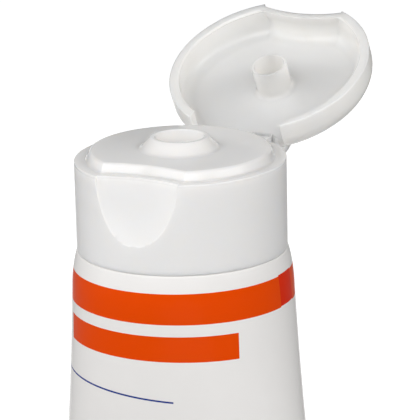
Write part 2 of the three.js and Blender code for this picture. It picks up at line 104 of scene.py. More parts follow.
def trace(name, places):
    """Pulls one vertex through the places, in millimetres, and stays in edit mode."""
    clean_slate()
    bpy.ops.mesh.primitive_plane_add(size=MM, location=Vector(places[0]) * MM)
    piece = bpy.context.object
    piece.name = piece.data.name = name
    bpy.ops.object.transform_apply(location=True, rotation=False, scale=False)
    bpy.ops.object.mode_set(mode="EDIT")
    bpy.ops.mesh.merge(type="CENTER")
    for here, there in zip(places, places[1:]):
        step = (Vector(there) - Vector(here)) * MM
        bpy.ops.mesh.extrude_vertices_move(TRANSFORM_OT_translate={"value": step})
    bpy.ops.mesh.select_all(action="SELECT")
    return piece


def close_up(piece):
    """Merges the doubles of a finished shell and turns its faces outwards."""
    bpy.ops.mesh.select_all(action="SELECT")
    bpy.ops.mesh.remove_doubles(threshold=DOUBLES)
    bpy.ops.mesh.normals_make_consistent(inside=False)
    bpy.ops.object.mode_set(mode="OBJECT")
    return piece


def spun(name, corners, axis_y=0.0, sides=192, parts=6):
    """A solid of revolution from a closed [radius, height] outline that may lean on the axis."""
    outline = arc_corners(corners, parts)
    on_axis = outline[0].x == 0 and outline[-1].x == 0
    if not on_axis:
        outline.append(outline[0])
    piece = trace(name, [(r, axis_y, z) for r, z in outline])
    bpy.ops.mesh.spin(
        steps=sides, angle=2 * math.pi, center=(0, axis_y * MM, 0), axis=(0, 0, 1)
    )
    return close_up(piece)


def bar(name, places, run):
    """A closed outline in millimetres, filled and pulled along the run in metres."""
    piece = trace(name, places + places[:1])
    bpy.ops.mesh.remove_doubles(threshold=DOUBLES)
    bpy.ops.mesh.edge_face_add()
    bpy.ops.mesh.extrude_region_move(TRANSFORM_OT_translate={"value": run})
    return close_up(piece)


def bar_along_x(name, corners, half, parts=8):
    """A bar with a closed [y, z] outline that runs from x = -half to x = half."""
    places = [(-half, y, z) for y, z in arc_corners(corners, parts)]
    return bar(name, places, (2 * half * MM, 0, 0))


def bar_along_y(name, outline, low, high):
    """A bar with a closed (x, z) outline that runs between two values of y."""
    return bar(name, [(x, low, z) for x, z in outline], (0, (high - low) * MM, 0))


def bar_along_z(name, outline, low, high):
    """A bar with a closed (x, y) outline that stands between two heights."""
    return bar(name, [(x, y, low) for x, y in outline], (0, 0, (high - low) * MM))


def carve(piece, tool, operation="DIFFERENCE"):
    """Cuts, joins or crosses the piece with the tool, which is used up."""
    clean_slate()
    step = piece.modifiers.new("carve", "BOOLEAN")
    step.operation = operation
    step.object = tool
    step.solver = "EXACT"
    bpy.context.view_layer.objects.active = piece
    piece.select_set(True)
    bpy.ops.object.modifier_apply(modifier=step.name)
    bpy.data.objects.remove(tool, do_unlink=True)
    return piece


def soften(piece, width, angle=32, segments=2):
    """Rounds every edge sharper than the angle by the width in millimetres."""
    clean_slate()
    bpy.context.view_layer.objects.active = piece
    piece.select_set(True)
    bpy.ops.object.mode_set(mode="EDIT")
    bpy.ops.mesh.select_all(action="SELECT")
    bpy.ops.mesh.remove_doubles(threshold=CUT_DOUBLES)
    bpy.ops.object.mode_set(mode="OBJECT")
    step = piece.modifiers.new("soften", "BEVEL")
    step.limit_method = "ANGLE"
    step.angle_limit = math.radians(angle)
    step.width = width * MM
    step.segments = segments
    step.use_clamp_overlap = True
    step.miter_outer = "MITER_ARC"
    bpy.ops.object.modifier_apply(modifier=step.name)
    return piece


def shade(piece, angle=32):
    """Smooth shading that keeps sharp edges, with weighted normals so that big faces look flat."""
    clean_slate()
    bpy.context.view_layer.objects.active = piece
    piece.select_set(True)
    bpy.ops.object.shade_smooth_by_angle(angle=math.radians(angle))
    even = piece.modifiers.new("even", "WEIGHTED_NORMAL")
    even.keep_sharp = True
    bpy.ops.object.modifier_apply(modifier=even.name)
    return piece


def report(piece, node_name):
    """Prints the size of the piece beside the size of the CAD node that it stands for."""
    low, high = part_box(node_name)
    cad = [round(1000 * (b - a), 2) for a, b in zip(low, high)]
    own = [round(1000 * d, 2) for d in piece.dimensions]
    print(piece.name, own, "mm, CAD", cad, "mm,", len(piece.data.polygons), "faces")


# %% [markdown]
# ## Sizes that several pieces share
# All heights are counted in millimetres from the tail edge, as in the CAD part.

# %% Shared heights and radii
# The sleeve's round end and lip, and the cap's lower edge.
SHOULDER_LINE = 98.0
LIP_TOP = 101.2
CAP_BOTTOM = 101.5
# The cap's ledge, its raised deck at the edge and in the middle, and the nozzle's mouth.
LEDGE = 117.8
DECK_EDGE = 119.55
DECK_MIDDLE = 119.58
MOUTH = 121.8
# The shut lid's rim, its flat top and the floor of its room.
RIM = 118.1
LID_TOP = 124.9
LID_FLOOR = 123.74
CAP_RADIUS = 19.05
# The flat face that carries the hinge, its half width, and that of the slot in the lid beside it.
HINGE_FACE = 19.15
HINGE_HALF = 8.9
SLOT_HALF = 9.1
# The hinge line, and how far the lid is swung open in the photograph.
HINGE_Y = 19.5
HINGE_Z = 117.95
LID_OPEN = math.radians(154.1)
# The wall of the cap and of its decks, and the lean and thickness of the lid's notch wall.
CAP_WALL = 1.2
NOTCH_WALL = 1.3
NOTCH_LEAN = 0.333
print("height with the lid shut", LID_TOP, "mm, cap", round(2 * CAP_RADIUS, 1), "mm across")

# %% [markdown]
# ## The sleeve
# The tube's body is a soft plastic sleeve, drawn as a round pipe and welded flat at the tail.
# Its girth can't change, so as it gets thinner it gets wider: the ellipse widths keep the girth.
# A circle of edges is pulled down from the shoulder ring by ring and scaled to each ellipse,
# and then gets its wall.

# %% The sleeve's outer skin, ring by ring
TUBE_RADIUS = 20.0
CRIMP_HEIGHT = 7.0
HALF_CRIMP = 0.5
SLEEVE_WALL = 0.45
# The flattening starts gently under the shoulder and takes most of its way near the tail.
EARLY_PART, EARLY_SOFTNESS, EARLY_WHOLE = 0.34, 0.03, 0.9704
LATE_PART, LATE_POWER = 0.66, 2.7
GIRTH_POWER = 1.8
# The soft shoulder starts here, is drawn in by this much, and ends in a rounded lip.
SHOULDER_START = 94.8
SHOULDER_DRAW = 0.95
LIP_ROUND = 0.3


def sleeve_halves(z):
    """Half width and half depth of the sleeve at a height: a constant girth."""
    share = max(0.0, (SHOULDER_LINE - z) / (SHOULDER_LINE - CRIMP_HEIGHT))
    early = EARLY_PART * (math.hypot(share, EARLY_SOFTNESS) - EARLY_SOFTNESS) / EARLY_WHOLE
    flattened = early + LATE_PART * share**LATE_POWER
    depth = TUBE_RADIUS - (TUBE_RADIUS - HALF_CRIMP) * flattened
    roundness = (depth / TUBE_RADIUS) ** GIRTH_POWER
    width = math.pi / 2 * TUBE_RADIUS * (1 - (1 - 2 / math.pi) * roundness)
    return width, depth


def drawn_in(z):
    """How far the soft shoulder is drawn in at a height: slowly first, then quickly at the lip."""
    rise = max(0.0, (z - SHOULDER_START) / (LIP_TOP - SHOULDER_START))
    lip = max(0.0, 1 - (LIP_TOP - z) / LIP_ROUND)
    return SHOULDER_DRAW * rise**2 + LIP_ROUND * (1 - math.sqrt(1 - lip**2))


def pull_down(rings):
    """Pulls the selected edges down from ring to ring, scaling them to each ellipse."""
    for (old_x, old_y, old_z), (new_x, new_y, new_z) in zip(rings, rings[1:]):
        step = (0, 0, (new_z - old_z) * MM)
        bpy.ops.mesh.extrude_edges_move(TRANSFORM_OT_translate={"value": step})
        bpy.ops.transform.resize(
            value=(new_x / old_x, new_y / old_y, 1), center_override=(0, 0, new_z * MM)
        )


def ringed(name, rings, sides=160):
    """A skin through a stack of ellipses, open at the top and closed at the bottom."""
    clean_slate()
    radius, _, height = rings[0]
    bpy.ops.mesh.primitive_circle_add(
        vertices=sides, radius=radius * MM, fill_type="NOTHING", location=(0, 0, height * MM)
    )
    piece = bpy.context.object
    piece.name = piece.data.name = name
    bpy.ops.object.transform_apply(location=True, rotation=False, scale=False)
    bpy.ops.object.mode_set(mode="EDIT")
    bpy.ops.mesh.select_all(action="SELECT")
    pull_down(rings)
    bpy.ops.mesh.edge_face_add()
    bpy.ops.mesh.select_all(action="SELECT")
    bpy.ops.mesh.normals_make_consistent(inside=False)
    bpy.ops.object.mode_set(mode="OBJECT")
    return piece


def give_wall(piece, thickness):
    """Lays a wall on the inside of a skin, its thickness in millimetres."""
    clean_slate()
    bpy.context.view_layer.objects.active = piece
    piece.select_set(True)
    wall = piece.modifiers.new("wall", "SOLIDIFY")
    wall.thickness = thickness * MM
    wall.offset = -1
    bpy.ops.object.modifier_apply(modifier=wall.name)


def body_rings(low, high, inset, count=60):
    """Ellipses of the sleeve from one height down to another, taken in all round by the inset."""
    rings = []
    for step in range(count + 1):
        z = high + (low - high) * step / count
        half_width, half_depth = sleeve_halves(z)
        taken = inset + drawn_in(z)
        rings.append((half_width - taken, half_depth - taken, z))
    return rings


# %% The sleeve
LIP_HOLE = 17.0
sleeve_rings = [(LIP_HOLE, LIP_HOLE, LIP_TOP)]
sleeve_rings += body_rings(LIP_TOP - LIP_ROUND, LIP_TOP, 0, 6)
sleeve_rings += body_rings(SHOULDER_START, LIP_TOP - LIP_ROUND, 0, 20)[1:]
sleeve_rings += body_rings(CRIMP_HEIGHT, SHOULDER_START, 0)[1:]
sleeve = ringed("sleeve_skin", sleeve_rings)
give_wall(sleeve, SLEEVE_WALL)
shade(sleeve, 40)
report(sleeve, "tube_sleeve")

# %% [markdown]
# ## The welded tail
# Hot jaws press the tail flat and leave fine upright ribs in it,
# a ridge on one side behind a groove on the other.
# The strip's outline is drawn from above, rib by rib, and extruded upwards.

# %% The welded tail strip
RIB_PITCH = 1.5
RIB_DEPTH = 0.14
STRIP_HEIGHT = 7.4
# Along one rib, as shares of the pitch: 0 is the ridge and 1 the groove.
RIB_STEPS = ((0.0, 0), (0.44, 0), (0.56, 1), (0.94, 1))
half_flat = math.pi / 2 * TUBE_RADIUS
rib_count = int(2 * (half_flat - 1) / RIB_PITCH)
front_edge, back_edge = [(-half_flat, 0)], []
for k in range(rib_count):
    x = (k - rib_count / 2) * RIB_PITCH
    for share, sunk in RIB_STEPS:
        front_edge.append((x + share * RIB_PITCH, -HALF_CRIMP + sunk * RIB_DEPTH))
        back_edge.append((x + share * RIB_PITCH, HALF_CRIMP - (1 - sunk) * RIB_DEPTH))
front_edge.append((half_flat, 0))
tail_strip = bar_along_z("tail_strip", front_edge + back_edge[::-1], 0, STRIP_HEIGHT)
shade(tail_strip, 20)
report(tail_strip, "tube_sleeve")

# %% [markdown]
# ## Inside the sleeve
# A moulded shoulder with the neck is sealed into the sleeve's top, and below it is the gel.
# Neither shows while the tube is whole, but a cut through the part shows both.

# %% The shoulder with its neck
SKIRT_OUTER, SKIRT_INNER, SKIRT_END = 19.2, 18.0, 95.5
SEAT_RADIUS, SEAT_HEIGHT = 16.7, 100.4
NECK_RADIUS, NECK_BEAD_RADIUS, NECK_BORE = 8.0, 8.7, 5.5
NECK_FOOT, NECK_TOP = 104.2, 112.2
shoulder = spun(
    "neck_shoulder",
    [
        [SKIRT_OUTER, SKIRT_END, 0.2],
        [SKIRT_OUTER, SHOULDER_LINE],
        [18.95, 99.2],
        [18.15, SEAT_HEIGHT, 0.2],
        [SEAT_RADIUS, SEAT_HEIGHT],
        [SEAT_RADIUS, LIP_TOP, 0.15],
        [NECK_RADIUS, NECK_FOOT, 0.6],
        [NECK_RADIUS, 109.9],
        [NECK_BEAD_RADIUS, 110.6, 0.15],
        [NECK_BEAD_RADIUS, 110.95, 0.15],
        [7.7, NECK_TOP, 0.2],
        [5.8, NECK_TOP, 0.15],
        [NECK_BORE, 111.9],
        [NECK_BORE, 103.0, 0.3],
        [15.5, 98.8, 0.5],
        [SKIRT_INNER, SHOULDER_LINE, 0.3],
        [SKIRT_INNER, SKIRT_END, 0.2],
    ],
    sides=144,
    parts=4,
)
shade(shoulder)
report(shoulder, "tube_shoulder")

# %% The gel
# The gel's top is slightly hollow in the middle and rounds off where it meets the sleeve.
GEL_TOP, GEL_BOTTOM, GEL_INSET = 95.1, 39.3, 0.9
gel_rings = [(0.6, 0.6, GEL_TOP - 0.9), (4.0, 4.0, GEL_TOP - 0.8), (9.0, 9.0, GEL_TOP - 0.3)]
gel_rings += [(14.0, 14.0, GEL_TOP), (17.5, 17.5, GEL_TOP - 0.2), (18.8, 18.8, GEL_TOP - 0.9)]
gel_rings += body_rings(GEL_BOTTOM + 2.4, GEL_TOP - 2, GEL_INSET, 30)
bottom_x, bottom_y, bottom_z = gel_rings[-1]
gel_rings.append((bottom_x - 0.9, bottom_y - 0.9, bottom_z - 1.2))
gel_rings.append((bottom_x - 3, bottom_y - 3, bottom_z - 2.3))
gel = ringed("gel", gel_rings, 96)
clean_slate()
bpy.context.view_layer.objects.active = gel
bpy.ops.object.mode_set(mode="EDIT")
bpy.ops.mesh.select_all(action="DESELECT")
bpy.ops.mesh.select_non_manifold()
bpy.ops.mesh.edge_face_add()
bpy.ops.mesh.select_all(action="SELECT")
bpy.ops.mesh.normals_make_consistent(inside=False)
bpy.ops.object.mode_set(mode="OBJECT")
shade(gel, 50)
report(gel, "gel_fill")

# %% [markdown]
# ## The cap
# The cap is one moulding: a round wall with a thumb scoop, a ledge the lid shuts onto,
# a raised deck and the nozzle. Its solid is spun from one profile, then the scoop and the deck's front
# are carved away with spun tools that are bowed about an axis well in front of the cap.

# %% The scoop's cutting tool
SCOOP_HALF_WIDTH = 8.05
SCOOP_HEIGHT = 11.8
SCOOP_DEPTH = 3.7
BOW_RADIUS = 26.1
BOW_AXIS_Y = SCOOP_DEPTH - CAP_RADIUS - BOW_RADIUS
# Height and depth of the scoop's floor, as shares of the whole scoop.
floor_shares = [
    (0, 0), (0.04, 0.078), (0.085, 0.151), (0.169, 0.273), (0.24, 0.362), (0.314, 0.443),
    (0.4, 0.527), (0.483, 0.605), (0.59, 0.69), (0.695, 0.766), (0.85, 0.88), (1, 1),
]


def scoop_tool(offset):
    """Everything in front of the bowed scoop floor, moved back by the offset."""
    bottom = LEDGE - SCOOP_HEIGHT
    floor = [
        [BOW_RADIUS - SCOOP_DEPTH * (1 - depth) + offset, bottom + SCOOP_HEIGHT * height]
        for height, depth in floor_shares
    ]
    bow = spun(
        "scoop_tool",
        [[0, bottom - offset - 0.5], [floor[0][0] - 0.3, bottom - offset - 0.5], *floor]
        + [[BOW_RADIUS + offset, LEDGE + 0.5], [0, LEDGE + 0.5]],
        axis_y=BOW_AXIS_Y,
        sides=360,
    )
    half_width, height = SCOOP_HALF_WIDTH + offset, SCOOP_HEIGHT + offset
    oval = [
        (-half_width * math.cos(math.pi * k / 96), LEDGE - height * math.sin(math.pi * k / 96))
        for k in range(97)
    ]
    oval += [(half_width, LEDGE + 2), (-half_width, LEDGE + 2)]
    return carve(bow, bar_along_y("scoop_oval", oval, -40, 0), "INTERSECT")


# %% The deck's cutting tool
# The gap between the deck's front and the shut lid's notch wall, and how the deck's front leans back.
NOTCH_GAP = 0.5
DECK_DRAFT, DECK_RISE = 0.6, 1.75
DECK_FOOT_ROUND, DECK_ROUND = 0.4, 0.7


def deck_front_tool(offset, bottom):
    """Everything in front of the raised deck, with a fillet at the wall's foot and a round at its top."""
    foot = BOW_RADIUS + NOTCH_WALL + NOTCH_GAP + offset
    top = DECK_MIDDLE + 0.005
    edge = foot + DECK_DRAFT * (top - LEDGE) / DECK_RISE
    front = [[0, bottom], [foot, bottom, DECK_FOOT_ROUND], [edge, top, DECK_ROUND]]
    above = [[edge + 5, top], [edge + 5, top + 3], [0, top + 3]]
    return spun("deck_front_tool", front + above, axis_y=BOW_AXIS_Y, sides=360)


# %% The cap's outer solid, carved
CAP_FOOT = LIP_TOP + 0.03
DECK_FOOT = 16.91
DECK_TOP = 16.31
NOZZLE_FOOT, NOZZLE_LIP = 7.15, 5.2
CAP_BORE, BORE_END = 3.6, 114.0
CAP_INNER = 17.7
cap = spun(
    "cap_shell",
    [
        [0, CAP_FOOT],
        [CAP_RADIUS - 0.08, CAP_FOOT, 0.2],
        [CAP_RADIUS, LEDGE, 0.2],
        [DECK_FOOT, LEDGE, 0.45],
        [DECK_TOP, DECK_EDGE, DECK_ROUND],
        [8.4, DECK_MIDDLE],
        [NOZZLE_FOOT, DECK_MIDDLE, 1.1],
        [NOZZLE_LIP, MOUTH, 0.4],
        [4.45, MOUTH, 0.2],
        [4.25, MOUTH - 2.4, 0.5],
        [CAP_BORE, MOUTH - 2.8, 0.1],
        [CAP_BORE, BORE_END],
        [0, BORE_END],
    ],
)
BLOCK_TOP, BLOCK_FOOT = LEDGE - 0.06, 112.9
hinge_block = bar_along_x(
    "hinge_block",
    [
        [15.0, BLOCK_TOP],
        [15.0, BLOCK_FOOT],
        [CAP_INNER, BLOCK_FOOT],
        [HINGE_FACE, 114.3, 0.4],
        [HINGE_FACE, BLOCK_TOP, 0.15],
    ],
    HINGE_HALF,
)
carve(cap, hinge_block, "UNION")
carve(cap, deck_front_tool(0, LEDGE))
carve(cap, scoop_tool(0))
soften(cap, 0.09)
report(cap, "cap_base")

# %% [markdown]
# Under the deck the moulding is hollow. Two rings hang down inside: a plug that seals the neck's bore
# and a socket whose bead clicks under the neck's bead. One spun tool leaves them both standing.

# %% The cap's hollow, with its plug and snap socket left standing
UNDER_DECK = DECK_EDGE - CAP_WALL
UNDER_LEDGE = LEDGE - CAP_WALL
HOLLOW_START = 101.0
SOCKET_OUTER, SOCKET_INNER, SOCKET_BEAD, SOCKET_END = 10.2, 9.0, 8.3, 104.7
PLUG_OUTER, PLUG_INNER, PLUG_END = 5.2, 4.0, 110.2
hollow = spun(
    "cap_hollow",
    [
        [0, HOLLOW_START],
        [CAP_INNER, HOLLOW_START],
        [CAP_INNER, UNDER_LEDGE, 0.4],
        [15.11, UNDER_LEDGE],
        [14.51, UNDER_DECK, 0.3],
        [SOCKET_OUTER, UNDER_DECK, 0.3],
        [SOCKET_OUTER, SOCKET_END, 0.3],
        [SOCKET_INNER, SOCKET_END, 0.3],
        [SOCKET_INNER, 107.4],
        [SOCKET_BEAD, 108.2, 0.1],
        [SOCKET_BEAD, 109.0, 0.1],
        [SOCKET_INNER, 109.6],
        [SOCKET_INNER, UNDER_DECK, 0.3],
        [PLUG_OUTER, UNDER_DECK, 0.3],
        [PLUG_OUTER, 110.7],
        [4.9, PLUG_END, 0.15],
        [PLUG_INNER, PLUG_END, 0.15],
        [PLUG_INNER, 116.6],
        [CAP_BORE, 117.2],
        [0, 117.2],
    ],
    sides=144,
    parts=3,
)
carve(hollow, scoop_tool(CAP_WALL))
carve(hollow, deck_front_tool(CAP_WALL, UNDER_LEDGE))
carve(cap, hollow)
shade(cap)
report(cap, "cap_base")

# %% [markdown]
# ## The lid
# The lid is drawn shut, where its sizes are easy to read, and swung open about the hinge line at the end.
# It is a shallow dish with a large edge radius, a thumb notch in front that leans out over the scoop,
# and in the middle the hollow pin that plugs the nozzle.

# %% The lid's tools
LID_INNER = 17.42
LID_EDGE_ROUND = 3.8
FLOOR_ROUND = 2.8
BACK_START = 10.4
# Tools start and end this far outside what they cut.
OUTSIDE = 0.5


def notch_tool(half, offset=0.0, fillet=0.0):
    """Everything in front of the leaning notch wall; the fillet flares it at the lid's floor."""
    bottom, top = RIM - OUTSIDE, LID_TOP + OUTSIDE
    profile = [[0, bottom], [BOW_RADIUS + offset + NOTCH_LEAN * OUTSIDE, bottom]]
    if fillet:
        at_floor = BOW_RADIUS + offset - NOTCH_LEAN * (LID_FLOOR - RIM)
        profile += [[at_floor, LID_FLOOR, fillet], [at_floor + 8, LID_FLOOR], [at_floor + 8, top]]
    else:
        profile.append([BOW_RADIUS + offset - NOTCH_LEAN * (top - RIM), top])
    bow = spun("notch_tool", profile + [[0, top]], axis_y=BOW_AXIS_Y, sides=360)
    block = [(-half, bottom - 1), (half, bottom - 1), (half, top + 1), (-half, top + 1)]
    return carve(bow, bar_along_y("notch_block", block, -40, 0), "INTERSECT")


def lid_back(name, back, top, edge, bottom, half):
    """The straight back of the lid over the hinge, with the lid's own edge radius run along X."""
    corners = [[BACK_START, bottom], [back, bottom], [back, top, edge], [BACK_START, top]]
    return bar_along_x(name, corners, half)


# %% The lid's outer solid
lid = spun(
    "lid_shell",
    [[0, RIM], [CAP_RADIUS, RIM, 0.25], [CAP_RADIUS, LID_TOP, LID_EDGE_ROUND], [0, LID_TOP]],
    parts=10,
)
lid_hump = lid_back("lid_back", HINGE_FACE, LID_TOP - 0.01, LID_EDGE_ROUND, RIM + 0.01, HINGE_HALF)
carve(lid, lid_hump, "UNION")
carve(lid, notch_tool(SCOOP_HALF_WIDTH))
soften(lid, 0.2)
report(lid, "cap_lid")

# %% The lid's room, with the plug pin left standing
PIN_TIP = LID_FLOOR - 5.6
BEAD_RADIUS = 17.21
BACK_INNER = 17.9
BEVEL_HEIGHT = 2
room = spun(
    "lid_room",
    [
        [0, RIM - OUTSIDE],
        [17.46, RIM - OUTSIDE],
        [17.46, RIM],
        [BEAD_RADIUS, RIM + 0.25],
        [BEAD_RADIUS, RIM + 0.5],
        [LID_INNER, RIM + 0.7],
        [LID_INNER, LID_FLOOR, FLOOR_ROUND],
        [3.35, LID_FLOOR, 1.0],
        [3.3, PIN_TIP, 0.12],
        [2.85, PIN_TIP, 0.12],
        [2.75, LID_FLOOR, 0.3],
        [0, LID_FLOOR],
    ],
)
carve(room, notch_tool(20, NOTCH_WALL, FLOOR_ROUND))
back_room = lid_back("back_room", BACK_INNER, LID_FLOOR - 0.01, FLOOR_ROUND, RIM - OUTSIDE, SLOT_HALF)
carve(room, back_room, "UNION")
carve(lid, room)
# The back wall is bevelled, so that the open lid clears the cap.
bevel_tool = bar_along_x(
    "bevel_tool",
    [
        [19.5, RIM - OUTSIDE],
        [HINGE_FACE, RIM],
        [BACK_INNER, RIM + BEVEL_HEIGHT],
        [17.4, RIM + BEVEL_HEIGHT],
        [17.4, RIM - OUTSIDE],
    ],
    SLOT_HALF,
)
carve(lid, bevel_tool)
shade(lid)


# %% Swing the lid open
def swing_open(piece):
    """Turns the piece in edit mode about the hinge line, from shut to the photographed place."""
    clean_slate()
    bpy.context.view_layer.objects.active = piece
    piece.select_set(True)
    bpy.ops.object.mode_set(mode="EDIT")
    bpy.ops.mesh.select_all(action="SELECT")
    bpy.ops.transform.rotate(
        value=LID_OPEN, orient_axis="X", center_override=(0, HINGE_Y * MM, HINGE_Z * MM)
    )
    bpy.ops.object.mode_set(mode="OBJECT")
    return piece


swing_open(lid)
report(lid, "cap_lid")

# %% [markdown]
# ## The film hinge
# The cap and the lid are joined by a strip of the same plastic, thinned until it bends for ever.
# Its outline follows the cap's block, goes round the fold and runs down the lid's bar.

# %% The hinge strap
FILM_HALF = 0.2
TAB = 2.9
FOLD_PARTS = 12
OUTER_STEP, INNER_STEP = 0.58, 0.5


def on_lid(across, up):
    """A point beside the hinge line, turned with the open lid."""
    return [
        HINGE_Y + across * math.cos(LID_OPEN) + up * math.sin(LID_OPEN),
        HINGE_Z + up * math.cos(LID_OPEN) - across * math.sin(LID_OPEN),
    ]


crease = FILM_HALF / math.tan((math.pi - LID_OPEN) / 2)
strap_outline = [[HINGE_Y - FILM_HALF, HINGE_Z - TAB + OUTER_STEP * k] for k in range(5)]
for k in range(FOLD_PARTS + 1):
    turn = LID_OPEN * k / FOLD_PARTS
    strap_outline.append(
        [HINGE_Y - FILM_HALF * math.cos(turn), HINGE_Z + FILM_HALF * math.sin(turn)]
    )
strap_outline += [on_lid(-FILM_HALF, OUTER_STEP * k) for k in range(1, 6)]
strap_outline += [on_lid(FILM_HALF, TAB - INNER_STEP * k) for k in range(5)]
strap_outline.append([HINGE_Y + FILM_HALF, HINGE_Z - crease])
strap_outline += [
    [HINGE_Y + FILM_HALF, HINGE_Z - TAB + INNER_STEP * k] for k in range(4, -1, -1)
]
strap = bar_along_x("hinge_strap", strap_outline, HINGE_HALF)
shade(strap, 50)
report(strap, "hinge_film")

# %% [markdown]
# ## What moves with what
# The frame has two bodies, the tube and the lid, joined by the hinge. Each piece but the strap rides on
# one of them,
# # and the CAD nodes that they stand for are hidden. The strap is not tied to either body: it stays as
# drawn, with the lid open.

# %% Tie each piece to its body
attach(sleeve, "tube_body")
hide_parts("tube_sleeve")
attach(tail_strip, "tube_body")
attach(shoulder, "tube_body")
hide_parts("tube_shoulder")
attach(gel, "tube_body")
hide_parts("gel_fill")
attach(cap, "tube_body")
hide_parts("cap_base")
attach(lid, "lid_body")
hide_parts("cap_lid")
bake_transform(strap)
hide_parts("hinge_film")

# %% [markdown]
# ## Finishes
# Each finish is built from nodes on the Principled shader. Colours are written as sRGB hex values.

# %% Helpers for materials
def srgb(text):
    """An sRGB hex value as the linear colour that a shader socket wants."""
    values = [int(text[i : i + 2], 16) / 255 for i in (1, 3, 5)]
    linear = [v / 12.92 if v <= 0.04045 else ((v + 0.055) / 1.055) ** 2.4 for v in values]
    return (*linear, 1)


def add(tree, kind, settings=None, links=None):
    """Adds a node, sets its settings by attribute and fills or links its inputs by name or number."""
    node = tree.nodes.new(kind)
    for key, value in (settings or {}).items():
        setattr(node, key, value)
    for key, value in (links or {}).items():
        if isinstance(value, bpy.types.NodeSocket):
            tree.links.new(value, node.inputs[key])
        else:
            node.inputs[key].default_value = value
    return node


def new_finish(name):
    """A new material with an empty node tree."""
    finish = bpy.data.materials.new(name)
    finish.use_nodes = True
    finish.node_tree.nodes.clear()
    print("finish", name)
    return finish, finish.node_tree


def dress(piece, finish):
    """Gives the whole piece one finish."""
    piece.data.materials.clear()
    piece.data.materials.append(finish)


# %% [markdown]
# ### Moulded plastics
# Polypropylene lets light in a little way, so thin walls and deep holes stay pale instead of going black.
# That is subsurface scattering, with a reach of a few millimetres.
# A cooled moulding is never quite flat, so a slow noise drives a faint relief and a small change of gloss.


# %% Moulded white plastics
POLYPROPYLENE_IOR = 1.49
GLOSS_CHANGE = 0.03


def moulded_white(name, colour, roughness, grain_mm, bump_mm, reach_mm, shine, polished=None):
    """A moulded white plastic; polished is where the polish starts and is whole, and its roughness."""
    finish, tree = new_finish(name)
    where = add(tree, "ShaderNodeTexCoord").outputs["Object"]
    waves = add(
        tree, "ShaderNodeTexNoise", {}, {"Vector": where, "Scale": 1 / (grain_mm * MM), "Detail": 2.0}
    )
    gloss = add(
        tree, "ShaderNodeMapRange", {},
        {"Value": waves.outputs["Fac"], "From Min": 0.3, "From Max": 0.7,
         "To Min": roughness - GLOSS_CHANGE, "To Max": roughness + GLOSS_CHANGE},
    ).outputs["Result"]
    if polished:
        low, high, mirror = polished
        height = add(tree, "ShaderNodeSeparateXYZ", {}, {"Vector": where}).outputs["Z"]
        gloss = add(
            tree, "ShaderNodeMapRange", {"interpolation_type": "SMOOTHSTEP"},
            {"Value": height, "From Min": low * MM, "From Max": high * MM,
             "To Min": gloss, "To Max": mirror},
        ).outputs["Result"]
    relief = add(
        tree, "ShaderNodeBump", {},
        {"Height": waves.outputs["Fac"], "Distance": bump_mm * MM, "Strength": 1.0},
    )
    skin = add(
        tree, "ShaderNodeBsdfPrincipled", {},
        {"Base Color": srgb(colour), "Roughness": gloss, "IOR": POLYPROPYLENE_IOR,
         "Specular IOR Level": shine, "Subsurface Weight": 1.0,
         "Subsurface Radius": (1.0, 0.95, 0.88), "Subsurface Scale": reach_mm * MM,
         "Normal": relief.outputs["Normal"]},
    )
    add(tree, "ShaderNodeOutputMaterial", {}, {"Surface": skin.outputs["BSDF"]})
    return finish


# The cap: satin walls. Its ledge, deck and nozzle come from a polished part of the mould,
# so they are glossy and show the open lid as a mirror image.
POLISH_START, POLISH_WHOLE, POLISH_ROUGHNESS = LEDGE - 0.55, LEDGE - 0.35, 0.07
cap_finish = moulded_white(
    "moulded_polypropylene", "#f1efed",
    roughness=0.33, grain_mm=9, bump_mm=0.004, reach_mm=1.8, shine=0.4,
    polished=(POLISH_START, POLISH_WHOLE, POLISH_ROUGHNESS),
)
# The lid and the hinge: the same plastic, thinner and smoother. Soft highlights run along its rounds,
# and light goes far into it, so its hollows stay pale.
lid_finish = moulded_white(
    "moulded_polypropylene_lid", "#f4f1ec",
    roughness=0.2, grain_mm=9, bump_mm=0.004, reach_mm=5.0, shine=0.5,
)
# The shoulder: softer and waxier, with a dull surface.
shoulder_finish = moulded_white(
    "moulded_polyethylene", "#ebe9e4",
    roughness=0.5, grain_mm=6, bump_mm=0.01, reach_mm=2.0, shine=0.5,
)
# The gel: wet and creamy, with slow swirls in its surface.
gel_finish = moulded_white(
    "thick_gel", "#f4f1e4",
    roughness=0.12, grain_mm=14, bump_mm=0.15, reach_mm=4.0, shine=0.5,
)

# %% [markdown]
# ### Printed sleeve
# A drum rolls the print onto the white sleeve, so the print follows heights and angles round the tube.
# Two orange bands are laid down, the upper one all round, and one thin navy rule below them.
# Where the upper band meets its own start the two coats overlap: the ink is redder there,
# and a little out of line.

# %% The print's places and colours
# Heights in millimetres, and angles round the tube counted from its front.
BAND_ROUND = (92.45, 98.15)
BAND_FRONT = (85.42, 90.22)
BAND_FRONT_END = math.radians(55.4)
RULE_HEIGHT, RULE_HALF, RULE_FALL = 78.05, 0.17, 1.05
RULE_START, RULE_END = math.radians(-75), math.radians(20)
OVERLAP_START, OVERLAP_END = math.radians(86), math.radians(101)
OVERLAP_SHIFT = 0.17
WHITE_LOW, WHITE_HIGH = "#eceae8", "#efedeb"
ORANGE, DOUBLE_ORANGE, NAVY = "#e64800", "#dc2a00", "#1d3487"
# The sizes of the faint mottle in the white and of the slow waves in the soft sleeve.
MOTTLE_MM, WAVE_MM, WAVE_DEPTH_MM = 5, 16, 0.02
POLYETHYLENE_IOR = 1.5


